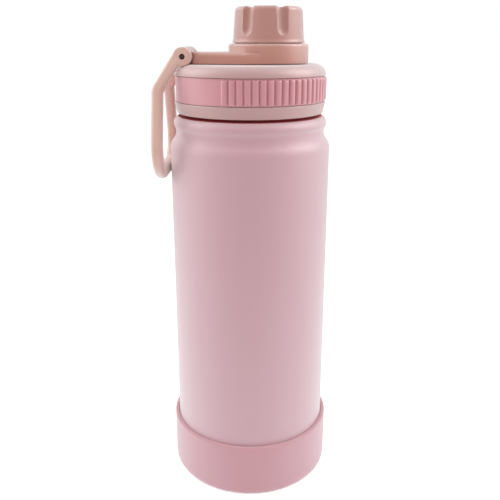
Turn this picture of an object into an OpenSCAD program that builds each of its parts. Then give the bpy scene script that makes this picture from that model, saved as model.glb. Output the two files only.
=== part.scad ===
// Insulated steel bottle with a screw lid, a flip spout cap and a bail handle.
// Millimetres. The origin is on the bottle's axis at the underside of the boot,
// +Z is up, and the hinge and the handle lie towards -X.

/* [Body] */
// Outside diameter of the steel body
body_d = 73; // [68:0.5:80]
// Height of the straight wall above the boot floor
wall_h = 160; // [120:1:220]
// Height of the shoulder curve from the straight wall to the groove
shoulder_h = 7.8; // [6:0.1:12]
// Depth of the groove below the body wall
groove_depth = 2.8; // [1.8:0.1:3.6]
// Height from the groove up to the bead
bead_rise = 3.6; // [3.2:0.1:6]
// How far the bead stands out of the groove
bead_out = 1.05; // [0.7:0.05:1.5]
// Radius that closes the bead towards the neck
bead_round = 3.3; // [2.4:0.1:4]
// Distance from the outside of the bead to the outside of the neck
neck_inset = 6.35; // [5.6:0.05:8]
// Fillet between the neck and its ledge
neck_fillet = 1; // [0.5:0.1:1.4]

/* [Vacuum walls] */
// Thickness of the outer steel wall
shell_wall = 0.6; // [0.4:0.05:0.9]
// Thickness of the inner steel wall
liner_wall = 0.5; // [0.4:0.05:0.9]
// Vacuum gap between the two side walls
vacuum_gap = 2.7; // [2:0.1:4]
// Vacuum gap between the two necks
neck_gap = 0.5; // [0.3:0.05:0.8]
// Height of the liner's shoulder
liner_shoulder_h = 18; // [14:0.5:24]
// Height of the vacuum space under the liner
floor_gap = 3.8; // [3.2:0.1:6]
// Corner radius of the liner's dished base
dish_round = 4; // [3:0.5:10]
// Height of the straight wall above that corner
dish_wall_h = 1; // [0.5:0.1:3]
// Depth that the outer base sits inside the foot of the shell
base_inset = 1.4; // [0.8:0.1:2.5]
// Radius of the evacuation dimple
dimple_r = 5; // [4:0.1:8]
// Height of the evacuation dimple
dimple_h = 1.2; // [0.8:0.1:1.6]
// Radius of the evacuation hole
vent_r = 1.2; // [0.8:0.1:2]
// Radius of the getter pill
getter_r = 4; // [3:0.5:8]
// Thickness of the getter pill
getter_t = 1.2; // [0.8:0.1:1.6]

/* [Boot] */
// Wall of the silicone boot
boot_wall = 2.05; // [1.5:0.05:3]
// Height of the boot
boot_h = 26.4; // [16:0.2:40]
// Floor of the boot
boot_floor = 2; // [1.5:0.1:4]
// Rounding of the boot's foot
boot_foot_round = 3; // [1.5:0.1:4]
// Rounding of the boot's top lip
boot_lip_round = 0.7; // [0.3:0.05:0.7]

/* [Lid] */
// Gap between the neck's ledge and the lid
lid_gap = 1.1; // [0.4:0.1:1.5]
// Height of the lower rim
lower_rim_h = 5.1; // [3:0.1:7]
// How far the foot of the lower rim draws in
lower_rim_taper = 0.9; // [0.3:0.1:1.5]
// Height of the grip band
band_h = 11.1; // [8:0.1:16]
// Height of the rounded upper rim, from the band to the deck
upper_rim_h = 4.6; // [4:0.1:6]
// Run of the rounded upper rim, from its outside to the flat deck
rim_run = 5.2; // [4.5:0.1:7]
// Parting gap above and below the band
part_gap = 0.2; // [0.1:0.05:0.4]
// Room between the neck and the skirt, which holds the thread
thread_room = 1.4; // [1:0.1:2]
// Wall of the threaded skirt
skirt_wall = 1.4; // [1:0.1:2]
// Wall of the grip band at its smooth stretch
band_wall = 2.2; // [1.6:0.1:3]
// How far the rims stand outside the smooth band
rim_out = 0.5; // [0.2:0.05:0.8]
// Height of a rib above the smooth band
rib_h = 0.85; // [0.5:0.05:1.2]
// Width of a rib
rib_w = 2.5; // [1.4:0.1:2.6]
// Chamfer along a rib's edges
rib_chamfer = 0.4; // [0.1:0.05:0.4]
// Angle from one rib to the next
rib_pitch = 5.45; // [5.2:0.05:9]
// Angle that the ribs cover, opposite the hinge
rib_span = 216; // [120:6:300]
// Plain border of the band above and below its ribs
rib_border = 0.5; // [0.2:0.1:1.5]
// Thickness of the deck
deck_t = 1.9; // [1.5:0.1:2.6]
// Height of the boss that carries the deck
deck_boss_h = 1; // [0.6:0.1:2]
// Thickness of the core's plate
plate_t = 2.4; // [1.8:0.1:3]
// Thickness of the lid gasket
gasket_t = 2; // [1.4:0.1:2.6]
// Radial overlap of the gasket inside and outside the mouth rim
gasket_lap = 1; // [0.5:0.1:1.2]

/* [Spout and cap] */
// Distance of the spout's axis from the bottle's axis
spout_x = 8.2; // [5:0.1:10]
// Radius of the cap's bore
cap_bore_r = 13.75; // [12.5:0.05:15]
// Room between the cap's bore and the spout, which holds the thread
spout_room = 1; // [0.7:0.1:1.4]
// Radius of the drinking bore
drink_r = 8.4; // [6:0.1:8.6]
// Wall of the cap's skirt
cap_skirt_wall = 1.05; // [0.9:0.05:1.4]
// How far the cap's foot and its flange stand outside the skirt
cap_foot_out = 1.2; // [0.9:0.1:1.5]
// Height of the cap above the collar
cap_h = 15.1; // [13:0.1:20]
// Height of the flare above the cap's foot
cap_flare_h = 2; // [1.4:0.1:3]
// How far the cap's side stands in from its foot
cap_flare_in = 0.45; // [0.2:0.05:0.7]
// Draft of the cap's side from the flare to its top edge
cap_draft = 0.75; // [0.3:0.05:1]
// Rounding of the cap's top edge
cap_edge_round = 2; // [1:0.1:2.6]
// Thickness of the cap's top
cap_top_t = 2; // [1.6:0.1:3]
// Thickness of the cap's seal
seal_t = 1.5; // [1:0.1:2]
// Number of flutes in the cap
flute_count = 6; // [4:1:8]
// Radius of a flute
flute_r = 2.6; // [2:0.1:3]
// Depth of a flute
flute_depth = 1.5; // [0.8:0.1:1.7]
// Lean of a flute towards the cap's axis
flute_lean = 7; // [0:0.5:8]
// Height of a flute's lower end above the cap's foot
flute_rise = 3.1; // [2.4:0.1:5]
// Turn of the first flute from +X
flute_phase = -6.5; // [-30:0.5:30]
// Height of the flange at the foot of the cap's skirt
cap_flange_h = 2; // [1.4:0.1:2.6]
// Rise of the cap when it is unscrewed
cap_travel = 2.6; // [1.8:0.1:3]

/* [Collar and arm] */
// Wall of the collar outside the cap's flange
collar_wall = 1.4; // [1:0.1:2]
// Rounding of the collar's top edge
collar_round = 1.2; // [0.6:0.1:1.3]
// Height of the lip that holds the cap's flange
collar_lip_h = 3.1; // [2.4:0.1:4]
// Thickness of the arm
arm_h = 4.7; // [4:0.1:6]
// Half width of the arm where it meets the hinge
arm_half_w = 10.6; // [10:0.1:13]
// Radius of the blend from the knuckle to the arm
arm_blend = 2.4; // [1.5:0.1:4]
// Chamfer along the arm's upper edges
arm_chamfer = 1.1; // [0.4:0.1:1.5]

/* [Hinge and handle] */
// Distance of the hinge pin inside the lid's rim
hinge_inset = 5.35; // [4.8:0.05:7]
// Height of the hinge pin above the deck
hinge_rise = 3.3; // [2.8:0.1:4]
// Diameter of the hinge pin
pin_d = 2.4; // [1.6:0.1:3]
// Diameter of the hinge barrel
barrel_d = 8; // [7:0.1:9]
// Width of the lug on the deck
lug_w = 10.8; // [8:0.1:12]
// Width of each knuckle of the arm
knuckle_w = 4; // [3:0.1:4.4]
// Thickness of each eye of the handle
eye_t = 4.6; // [3:0.1:5]
// Depth of the pin's end inside the eye
pin_recess = 0.6; // [0.2:0.1:1.2]
// Thickness of the handle's bar, towards the body
bar_t = 4.8; // [4:0.1:6]
// Width of the handle's bar in the plane of the loop
bar_w = 6; // [5:0.1:7]
// Rounding of the bar's edges
bar_round = 1.7; // [0.8:0.1:1.9]
// Angle that each leg splays on its way from the eye to the loop's corner
leg_splay = 16.4; // [10:0.2:18]
// Drop from the pin to the underside of the loop
loop_drop = 53; // [47:0.5:70]
// Drop from the pin to the knee of the handle
knee_drop = 14; // [13:0.2:20]
// Height of the knee, from its inner to its outer corner
knee_h = 3.2; // [2:0.1:5]
// Thickness of the leg where it leaves the eye
leg_t = 2.4; // [1.6:0.1:3]
// Half width of the leg where it leaves the eye
leg_r = 2.1; // [1.8:0.1:2.4]
// Depth of the leg's face behind the face of its eye
leg_inset = 0.6; // [0.3:0.1:1]
// Outside radius of the loop's lower corners
loop_round = 14.8; // [10:0.1:16]

/* [Clearances] */
// Gap of pieces that are pressed or welded together
fit_gap = 0.05; // [0.02:0.01:0.1]
// Gap of faces that slide or turn on each other
run_gap = 0.3; // [0.25:0.05:0.4]
// Gap of flat faces that seal or turn on each other
face_gap = 0.1; // [0.05:0.05:0.2]
// Radial clearance of the hinge pin in what turns on it
pin_gap = 0.05; // [0.02:0.01:0.1]
// Side gap between the knuckles of the hinge
side_gap = 0.2; // [0.1:0.05:0.3]
// Room round the eyes for the handle's leg
eye_room = 0.95; // [0.8:0.05:1.5]
// Depth that a leg is sunk into the pieces that it joins
leg_sink = 0.1; // [0.08:0.02:0.2]
// Depth that a straight bar of the loop is sunk into its corners
bar_sink = 0.04; // [0.03:0.01:0.06]
// Length that a straight bar runs into a corner
bar_lap = 0.4; // [0.2:0.1:0.4]

/* [Hidden] */
$fn = 96;

COAT = "#e6c0c6";
SILICONE = "#dba5af";
PEACH = "#dcb0a4";
BAND = "#dd9ca4";
STEEL = "#b9bbbd";
CLEAR = "#efe9e4";

// Radii of the body, from the wall to the neck
body_r = body_d / 2;
groove_r = body_r - groove_depth;
bead_r = groove_r + bead_out;
neck_r = bead_r - neck_inset;

// Heights of the body
wall_z = boot_floor + wall_h;
groove_z = wall_z + shoulder_h;
bead_z = groove_z + bead_rise;
ledge_z = bead_z + bead_round;

// Heights of the lid, and of the mouth rim that its gasket closes
lid_z = ledge_z + lid_gap;
lower_rim_z = lid_z + lower_rim_h;
band_z = lower_rim_z + part_gap;
band_top_z = band_z + band_h;
cover_z = band_top_z + part_gap;
deck_z = cover_z + upper_rim_h;
plate_top_z = deck_z - deck_t - deck_boss_h;
plate_z = plate_top_z - plate_t;
gasket_z = plate_z - face_gap - gasket_t;
rim_z = gasket_z - face_gap;

// Radii of the lid
skirt_in_r = neck_r + thread_room;
skirt_r = skirt_in_r + skirt_wall;
band_in_r = skirt_r + fit_gap;
band_r = band_in_r + band_wall;
lid_r = band_r + rim_out;
lid_edge = 0.8;

// Liner
liner_r = body_r - shell_wall - vacuum_gap;
liner_neck_r = neck_r - shell_wall - neck_gap;
mouth_r = liner_neck_r - liner_wall;
liner_neck_z = ledge_z - 2.5;
liner_shoulder_z = liner_neck_z - liner_shoulder_h;
base_z = boot_floor + base_inset;
dish_z = base_z + shell_wall + floor_gap;
liner_weld_z = dish_z + dish_round + dish_wall_h;
base_r = body_r - shell_wall - fit_gap;

// Gasket, and the ring under the plate that keeps it in place
gasket_in_r = mouth_r - gasket_lap;
gasket_r = neck_r + min(gasket_lap, thread_room - run_gap) / 2;
keeper_r = gasket_in_r - run_gap;
keeper_wall = 1.3;
keeper_drop = 1;

// Hinge and spout
hinge_x = hinge_inset - lid_r;
hinge_z = deck_z + hinge_rise;
reach = spout_x - hinge_x;
barrel_r = barrel_d / 2;
pin_r = pin_d / 2;
lug_half = lug_w / 2;
knuckle_in = lug_half + side_gap;
knuckle_out = knuckle_in + knuckle_w;
eye_in = knuckle_out + side_gap;
eye_out = eye_in + eye_t;
relief_r = barrel_r + run_gap + 0.1;

// Cap and collar
collar_z = deck_z + run_gap;
cap_skirt_r = cap_bore_r + cap_skirt_wall;
cap_foot_r = cap_skirt_r + cap_foot_out;
pocket_r = cap_foot_r + run_gap;
collar_r = pocket_r + collar_wall;
lip_r = cap_skirt_r + run_gap;
cap_skirt_z = collar_z + run_gap;
flange_top_z = cap_skirt_z + cap_flange_h;
lip_z = flange_top_z + cap_travel + run_gap;
collar_top_z = lip_z + collar_lip_h;
cap_z = collar_top_z + run_gap;
cap_top_z = cap_z + cap_h;
ceiling_z = cap_top_z - cap_top_t;
seal_z = ceiling_z - face_gap - seal_t;
spout_top_z = seal_z - face_gap;
cap_r = cap_foot_r - cap_flare_in;
cap_top_r = cap_r - cap_draft;
arm_spread = asin(collar_r / norm([arm_half_w, reach])) - atan(arm_half_w / reach);

// Handle
bar_x = -(body_r + run_gap + bar_t / 2);
eye_mid = (eye_in + eye_out) / 2;
crossbar_z = hinge_z - loop_drop + bar_w / 2;
corner_r = loop_round - bar_w / 2;
crossbar_half = leg_y(crossbar_z) - corner_r * tan(45 + leg_splay / 2);
knee_z = hinge_z - knee_drop;
leg_angle = atan2(hinge_z - knee_z, hinge_x - bar_x);

// Points of an arc about [r, z]
function arc(r, z, radius, from, to, steps = 8) =
    [for (i = [0:steps]) let (a = from + (to - from) * i / steps) [r + radius * cos(a), z + radius * sin(a)]];

// A list without its first entry
function rest(v) = [for (i = [1:len(v) - 1]) v[i]];

// A list from its last entry to its first
function reversed(v) = [for (i = [len(v) - 1:-1:0]) v[i]];

// Two tangent arcs between upright walls, moved towards the axis by inset
function s_curve(r0, z0, r1, z1, inset) =
    let (turn = 2 * atan(abs(r1 - r0) / (z1 - z0)), radius = (z1 - z0) / 2 / sin(turn))
    r1 < r0
    ? concat(arc(r0 - radius, z0, radius - inset, 0, turn),
        rest(arc(r1 + radius, z1, radius + inset, 180 + turn, 180)))
    : concat(arc(r0 + radius, z0, radius + inset, 180, 180 - turn),
        rest(arc(r1 - radius, z1, radius - inset, -turn, 0)));

// Side of the shell from its foot to the top of its neck, moved inwards by inset
function shell_side(inset) = concat(
    [[body_r - inset, boot_floor]],
    s_curve(body_r, wall_z, groove_r, groove_z, inset),
    rest(s_curve(groove_r, groove_z, bead_r, bead_z, inset)),
    rest(arc(bead_r - bead_round, bead_z, bead_round - inset, 0, 90)),
    arc(neck_r + neck_fillet, ledge_z + neck_fillet, neck_fillet + inset, 270, 180),
    [[neck_r - inset, rim_z - liner_wall]]);

// Side of the liner from its weld to its neck, moved inwards by inset
function liner_side(inset) = concat(
    [[liner_r - inset, liner_weld_z]],
    s_curve(liner_r, liner_shoulder_z, liner_neck_r, liner_neck_z, inset));

// Bowl of the liner's base, from the axis to the weld, moved inwards by inset
function dish_side(inset) = concat(
    [[0, dish_z + inset]],
    arc(liner_r - dish_round, dish_z + dish_round, dish_round - inset, -90, 0),
    [[liner_r - inset, liner_weld_z]]);

// Radius at height z that lets the cap swing about the hinge pin
function swing_r(z) = sqrt(pow(reach + cap_bore_r, 2) - pow(max(0, z - hinge_z), 2)) - reach;

// Points of the swing curve from height z0 to z1, moved inwards by inset
function swing_side(z0, z1, inset, steps = 8) =
    [for (i = [0:steps]) let (z = z0 + (z1 - z0) * i / steps) [swing_r(z) - inset, z]];

// Distance of a leg's middle from the handle's plane of symmetry at height z
function leg_y(z) = eye_mid + (hinge_z - z) * tan(leg_splay);

// A rectangle with true round corners, centred
module rounded_bar(size_x, size_y, round) {
    square([size_x - 2 * round, size_y], center = true);
    square([size_x, size_y - 2 * round], center = true);
    for (x = [-1, 1], y = [-1, 1])
        translate([x * (size_x / 2 - round), y * (size_y / 2 - round)])
            circle(round);
}

// A cylinder on the hinge axis, from y0 to y1
module on_hinge(radius, y0, y1) {
    translate([hinge_x, y1, hinge_z])
        rotate([90, 0, 0])
            cylinder(r = radius, h = y1 - y0);
}

module outer_shell() {
    color(COAT)
        rotate_extrude()
            polygon(concat(shell_side(0), reversed(shell_side(shell_wall))));
}

module inner_liner() {
    color(STEEL)
        rotate_extrude()
            polygon(concat(
                liner_side(0),
                [[liner_neck_r, rim_z - liner_wall], [neck_r, rim_z - liner_wall], [neck_r, rim_z], [mouth_r, rim_z]],
                reversed(liner_side(liner_wall))));
}

module liner_base() {
    color(STEEL)
        rotate_extrude()
            polygon(concat(dish_side(0), reversed(dish_side(liner_wall))));
}

module outer_base() {
    top = base_z + shell_wall;
    color(STEEL)
        rotate_extrude()
            polygon([
                [vent_r, base_z + dimple_h], [dimple_r - shell_wall, base_z + dimple_h],
                [dimple_r - shell_wall, base_z], [base_r - shell_wall, base_z],
                [base_r - shell_wall, boot_floor], [base_r, boot_floor],
                [base_r, top], [dimple_r, top], [dimple_r, top + dimple_h], [vent_r, top + dimple_h]]);
}

module getter() {
    color("dimgray")
        translate([0, 0, dish_z - getter_t])
            cylinder(r = getter_r, h = getter_t);
}

module vacuum_seal() {
    pellet_r = dimple_r - shell_wall - fit_gap;
    color("gray") {
        translate([0, 0, base_z])
            cylinder(r = pellet_r, h = dimple_h);
        translate([0, 0, base_z])
            cylinder(r = vent_r - fit_gap, h = dimple_h + shell_wall);
    }
}

module boot() {
    inner_r = body_r + fit_gap;
    outer_r = inner_r + boot_wall;
    color(SILICONE)
        rotate_extrude()
            polygon(concat(
                [[0, 0]],
                arc(outer_r - boot_foot_round, boot_foot_round, boot_foot_round, -90, 0),
                arc(outer_r - boot_lip_round, boot_h - boot_lip_round, boot_lip_round, 0, 90),
                arc(inner_r + boot_lip_round, boot_h - boot_lip_round, boot_lip_round, 90, 180),
                [[inner_r, boot_floor], [0, boot_floor]]));
}

module lid_gasket() {
    edge = 0.4;
    color(CLEAR)
        rotate_extrude()
            translate([(gasket_in_r + gasket_r) / 2, gasket_z + gasket_t / 2])
                rounded_bar(gasket_r - gasket_in_r, gasket_t, edge);
}

// Threaded skirt with the lower rim, the plate and the ring that keeps the gasket
module core_body() {
    rim_foot_r = lid_r - lower_rim_taper;
    rotate_extrude()
        polygon(concat(
            [[skirt_in_r, lid_z]],
            arc(rim_foot_r - lid_edge, lid_z + lid_edge, lid_edge, -90, 0),
            arc(lid_r - lid_edge / 2, lower_rim_z - lid_edge / 2, lid_edge / 2, 0, 90, 4),
            [[skirt_r, lower_rim_z], [skirt_r, plate_top_z], [0, plate_top_z], [0, plate_z],
            [keeper_r - keeper_wall, plate_z], [keeper_r - keeper_wall, rim_z - keeper_drop],
            [keeper_r, rim_z - keeper_drop], [keeper_r, plate_z], [skirt_in_r, plate_z]]));
}

// Spout that narrows upwards, so that the cap can swing off it
module spout_body() {
    lip = 0.6;
    rotate_extrude()
        polygon(concat(
            [[0, plate_z + plate_t / 2], [swing_r(hinge_z) - spout_room, plate_z + plate_t / 2]],
            swing_side(hinge_z, spout_top_z - lip, spout_room),
            rest(arc(swing_r(spout_top_z - lip) - spout_room - lip, spout_top_z - lip, lip, 0, 90, 4)),
            [[0, spout_top_z]]));
}

module lid_core() {
    boss_r = cap_bore_r + 3;
    color(PEACH)
        difference() {
            union() {
                core_body();
                translate([spout_x, 0, 0]) {
                    spout_body();
                    translate([0, 0, plate_top_z - plate_t / 2])
                        cylinder(r = boss_r, h = deck_boss_h + plate_t / 2);
                }
            }
            translate([spout_x, 0, rim_z - keeper_drop - 1])
                cylinder(r = drink_r, h = spout_top_z - rim_z + keeper_drop + 2);
        }
}

// Outline of one rib, seen from above, with its foot inside the band
module rib_outline() {
    half = rib_w / 2;
    polygon([
        [-rib_h, -half], [rib_h - rib_chamfer, -half], [rib_h, rib_chamfer - half],
        [rib_h, half - rib_chamfer], [rib_h - rib_chamfer, half], [-rib_h, half]]);
}

module grip_band() {
    last_rib = floor(rib_span / rib_pitch);
    color(BAND)
        union() {
            rotate_extrude()
                translate([band_in_r, band_z])
                    square([band_wall, band_h]);
            for (i = [0:last_rib])
                rotate((i - last_rib / 2) * rib_pitch)
                    translate([band_r, 0, band_z + rib_border])
                        linear_extrude(band_h - 2 * rib_border)
                            rib_outline();
        }
}

// Rounded upper rim and deck
module cover_body() {
    inner_r = skirt_r + fit_gap;
    rotate_extrude()
        polygon(concat(
            [[inner_r, cover_z]],
            [for (a = [0:7.5:90]) [lid_r - rim_run * (1 - cos(a)), cover_z + upper_rim_h * sin(a)]],
            [[0, deck_z], [0, deck_z - deck_t], [inner_r - 1, deck_z - deck_t], [inner_r, plate_top_z]]));
}

module lid_cover() {
    spout_hole_r = swing_r(hinge_z) - spout_room + fit_gap;
    lug_foot = barrel_r - 0.6;
    lug_front = sqrt(max(1, pow(barrel_r + run_gap / 2, 2) - pow(hinge_rise - run_gap, 2)));
    color(PEACH)
        difference() {
            union() {
                difference() {
                    cover_body();
                    for (y = [knuckle_in - side_gap / 2, -eye_out - 1])
                        on_hinge(relief_r, y, y + eye_out + 1 - knuckle_in + side_gap / 2);
                }
                on_hinge(barrel_r, -lug_half, lug_half);
                translate([hinge_x - lug_foot, -lug_half, deck_z - deck_t])
                    cube([lug_foot + lug_front, lug_w, hinge_rise + deck_t]);
            }
            translate([spout_x, 0, plate_top_z])
                cylinder(r = spout_hole_r, h = deck_z);
            on_hinge(pin_r + 0.01, -eye_out, eye_out);
        }
}

module hinge_pin() {
    color("#6d5a52")
        on_hinge(pin_r, pin_recess - eye_out, eye_out - pin_recess);
}

// Side view of the arm: the knuckle, the flat arm and the blend between them
module arm_side() {
    arm_z = collar_z - hinge_z;
    arm_top = arm_z + arm_h;
    blend_x = sqrt(pow(barrel_r + arm_blend, 2) - pow(arm_top + arm_blend, 2));
    tangent = [blend_x, arm_top + arm_blend] * barrel_r / (barrel_r + arm_blend);
    circle(barrel_r);
    translate([0, arm_z])
        square([reach, arm_h]);
    difference() {
        polygon([[0, 0], [blend_x, 0], [blend_x, arm_top], tangent]);
        translate([blend_x, arm_top + arm_blend])
            circle(arm_blend);
    }
}

// Plan of the arm, which widens from the hinge until it meets the collar as a tangent
module arm_plan() {
    tip_half = arm_half_w - barrel_r * tan(arm_spread);
    tangent = [reach - collar_r * sin(arm_spread), collar_r * cos(arm_spread)];
    polygon([[-barrel_r, -tip_half], [tangent[0], -tangent[1]], [reach, 0], tangent, [-barrel_r, tip_half]]);
}

// Arm from the hinge to the collar, with its upper edges taken off
module arm_body() {
    start = barrel_r + arm_blend;
    stop = reach - collar_r * sin(arm_spread) - sqrt(2 * collar_r * arm_chamfer) - run_gap;
    cut = 2 * arm_chamfer;
    difference() {
        intersection() {
            translate([hinge_x, collar_r, hinge_z])
                rotate([90, 0, 0])
                    linear_extrude(2 * collar_r)
                        arm_side();
            translate([hinge_x, 0, collar_z - barrel_r])
                linear_extrude(arm_h + 3 * barrel_r)
                    arm_plan();
        }
        for (side = [-1, 1])
            translate([hinge_x + start, side * (arm_half_w + start * tan(arm_spread)), collar_z + arm_h])
                rotate([0, 0, side * arm_spread])
                    rotate([-45 * side, 0, 0])
                        translate([0, -cut, -arm_chamfer / sqrt(2)])
                            cube([stop - start, 2 * cut, cut]);
    }
}

module collar_body() {
    foot_edge = 0.4;
    rotate_extrude()
        polygon(concat(
            [[0, collar_z], [collar_r - foot_edge, collar_z], [collar_r, collar_z + foot_edge]],
            arc(collar_r - collar_round, collar_top_z - collar_round, collar_round, 0, 90),
            [[0, collar_top_z]]));
}

// Room inside the collar for the cap's skirt and flange
module collar_bore() {
    rotate_extrude()
        polygon([
            [0, collar_z - 1], [pocket_r, collar_z - 1], [pocket_r, lip_z],
            [lip_r, lip_z], [lip_r, collar_top_z + 1], [0, collar_top_z + 1]]);
}

module collar_arm() {
    slot_r = barrel_r + run_gap + 0.2;
    recess_r = barrel_r + eye_room;
    color(PEACH)
        difference() {
            union() {
                translate([spout_x, 0, 0])
                    collar_body();
                arm_body();
            }
            translate([spout_x, 0, 0])
                collar_bore();
            on_hinge(slot_r, -knuckle_in, knuckle_in);
            for (y = [knuckle_out, -collar_r])
                on_hinge(recess_r, y, y + collar_r - knuckle_out);
            on_hinge(pin_r + pin_gap, -collar_r, collar_r);
        }
}

// Outside of the cap, from the flange under the collar's lip to its top
module cap_body() {
    flare_z = cap_z + cap_flare_h;
    foot_edge = 0.5;
    rotate_extrude()
        polygon(concat(
            [[0, cap_skirt_z], [cap_foot_r, cap_skirt_z], [cap_foot_r, flange_top_z],
            [cap_skirt_r, flange_top_z], [cap_skirt_r, cap_z], [cap_foot_r, cap_z]],
            [for (i = [0:6]) let (t = i / 6)
                [cap_foot_r - cap_flare_in * (1 - pow(1 - t, 2)), cap_z + foot_edge + (flare_z - cap_z - foot_edge) * t]],
            arc(cap_top_r - cap_edge_round, cap_top_z - cap_edge_round, cap_edge_round, 0, 90),
            [[0, cap_top_z]]));
}

// Inside of the cap: the bore, narrowed to swing off the spout, and the pocket of the seal
module cap_bore() {
    seal_room_r = swing_r(seal_z) + 0.6;
    rotate_extrude()
        polygon(concat(
            [[0, cap_skirt_z - 1], [cap_bore_r, cap_skirt_z - 1]],
            swing_side(hinge_z, seal_z, 0),
            [[seal_room_r, seal_z], [seal_room_r, ceiling_z], [0, ceiling_z]]));
}

// Cutter of one flute, round at its lower end and open at the top
module flute() {
    centre = cap_r - flute_depth + flute_r;
    lower_end = cap_z + flute_rise + flute_r;
    translate([centre, 0, lower_end])
        rotate([0, -flute_lean, 0])
            rotate_extrude($fn = 48)
                polygon(concat(arc(0, 0, flute_r, -90, 0, 6), [[flute_r, cap_h], [0, cap_h]]));
}

module spout_cap() {
    color(PEACH)
        translate([spout_x, 0, 0])
            difference() {
                cap_body();
                cap_bore();
                for (i = [0:flute_count - 1])
                    rotate(flute_phase + i * 360 / flute_count)
                        flute();
            }
}

module cap_seal() {
    edge = 0.4;
    seal_r = swing_r(seal_z) + 0.6 - run_gap;
    color(CLEAR)
        translate([spout_x, 0, 0])
            rotate_extrude()
                polygon([
                    [0, seal_z], [seal_r - edge, seal_z], [seal_r, seal_z + edge],
                    [seal_r, seal_z + seal_t - edge], [seal_r - edge, seal_z + seal_t], [0, seal_z + seal_t]]);
}

// Straight bar of the loop, upwards from the origin
module loop_bar(length) {
    linear_extrude(length)
        rounded_bar(bar_t - 2 * bar_sink, bar_w - 2 * bar_sink, bar_round);
}

// Loop of the handle: two splayed legs, two round corners and the crossbar
module handle_loop() {
    corner_z = crossbar_z + corner_r;
    foot_y = crossbar_half + corner_r * cos(leg_splay);
    foot_z = corner_z + corner_r * sin(leg_splay);
    leg_len = (knee_z - knee_h / 4 - foot_z) / cos(leg_splay);
    for (side = [-1, 1]) {
        translate([bar_x, side * foot_y, foot_z])
            rotate([side * leg_splay, 0, 0])
                translate([0, 0, -bar_lap])
                    loop_bar(leg_len + bar_lap);
        translate([bar_x, side * crossbar_half, corner_z])
            rotate([90, 0, 90])
                rotate([0, 0, side > 0 ? 270 : 180 - leg_splay])
                    rotate_extrude(angle = 90 + leg_splay)
                        translate([corner_r, 0])
                            rounded_bar(bar_w, bar_t, bar_round);
    }
    translate([bar_x, crossbar_half + bar_lap, crossbar_z])
        rotate([90, 0, 0])
            loop_bar(2 * (crossbar_half + bar_lap));
}

// Slanted leg from the eye to the knee, on the side of the given sign
module handle_leg(side) {
    set_off = barrel_r - leg_r - leg_sink;
    hull() {
        translate([hinge_x - set_off * sin(leg_angle), side * (eye_out - leg_inset - leg_t / 2),
            hinge_z + set_off * cos(leg_angle)])
            rotate([90, 0, 0])
                cylinder(r = leg_r, h = leg_t, center = true, $fn = 32);
        translate([bar_x, side * leg_y(knee_z), knee_z])
            rotate([side * leg_splay, 0, 0])
                linear_extrude(knee_h, center = true)
                    rounded_bar(bar_t - 2 * leg_sink, bar_w - 2 * leg_sink, bar_round - leg_sink, $fn = 32);
    }
}

module handle() {
    color(PEACH)
        difference() {
            union() {
                handle_loop();
                for (side = [-1, 1])
                    handle_leg(side);
                on_hinge(barrel_r, eye_in, eye_out);
                on_hinge(barrel_r, -eye_out, -eye_in);
            }
            on_hinge(pin_r + pin_gap, -eye_out - 1, eye_out + 1);
        }
}

outer_shell();
inner_liner();
liner_base();
outer_base();
getter();
vacuum_seal();
boot();
lid_gasket();
lid_core();
grip_band();
lid_cover();
hinge_pin();
collar_arm();
spout_cap();
cap_seal();
handle();
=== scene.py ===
"""Dresses the insulated spout bottle: finishes, moulded pieces, screw threads and the studio."""

import logging
import math
from dataclasses import dataclass, replace
from enum import Enum
from typing import Any, Callable, Optional, Sequence

import bpy
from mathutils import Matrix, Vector


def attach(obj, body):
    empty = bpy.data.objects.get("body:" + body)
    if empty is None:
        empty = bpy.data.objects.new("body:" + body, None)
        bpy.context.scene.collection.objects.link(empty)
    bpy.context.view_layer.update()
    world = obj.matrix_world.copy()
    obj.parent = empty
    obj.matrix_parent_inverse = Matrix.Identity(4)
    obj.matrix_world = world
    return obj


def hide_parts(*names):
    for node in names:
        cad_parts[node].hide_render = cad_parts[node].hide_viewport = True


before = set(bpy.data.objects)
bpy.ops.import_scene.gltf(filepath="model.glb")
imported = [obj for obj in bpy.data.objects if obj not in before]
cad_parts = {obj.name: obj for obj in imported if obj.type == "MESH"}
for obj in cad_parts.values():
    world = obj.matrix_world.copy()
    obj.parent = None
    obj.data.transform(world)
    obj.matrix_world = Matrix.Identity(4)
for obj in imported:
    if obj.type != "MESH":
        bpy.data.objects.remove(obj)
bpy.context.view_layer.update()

Point = tuple[float, float]
Place = tuple[float, float, float]
Colour = tuple[float, float, float, float]

MM = 0.001
MERGE_MM = 0.002
SMOOTH_DEG = 32.0
WHITE: Colour = (1.0, 1.0, 1.0, 1.0)
LOG = logging.getLogger("spout_bottle")


def linear(code: str) -> Colour:
    """Turns an sRGB hex colour into linear RGBA by the standard's formula.

    Args:
        code: Six hex digits, such as "c8a0a8".

    Returns:
        The colour as four linear numbers, opaque.
    """
    parts = [int(code[i : i + 2], 16) / 255 for i in (0, 2, 4)]
    red, green, blue = [c / 12.92 if c <= 0.04045 else ((c + 0.055) / 1.055) ** 2.4 for c in parts]
    return red, green, blue, 1.0


def empty_tree(owner: bpy.types.ID) -> bpy.types.NodeTree:
    """Turns the nodes of a material or a world on and clears them.

    Args:
        owner: The material or the world.

    Returns:
        Its node tree, without nodes.
    """
    owner.use_nodes = True
    owner.node_tree.nodes.clear()
    return owner.node_tree


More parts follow.
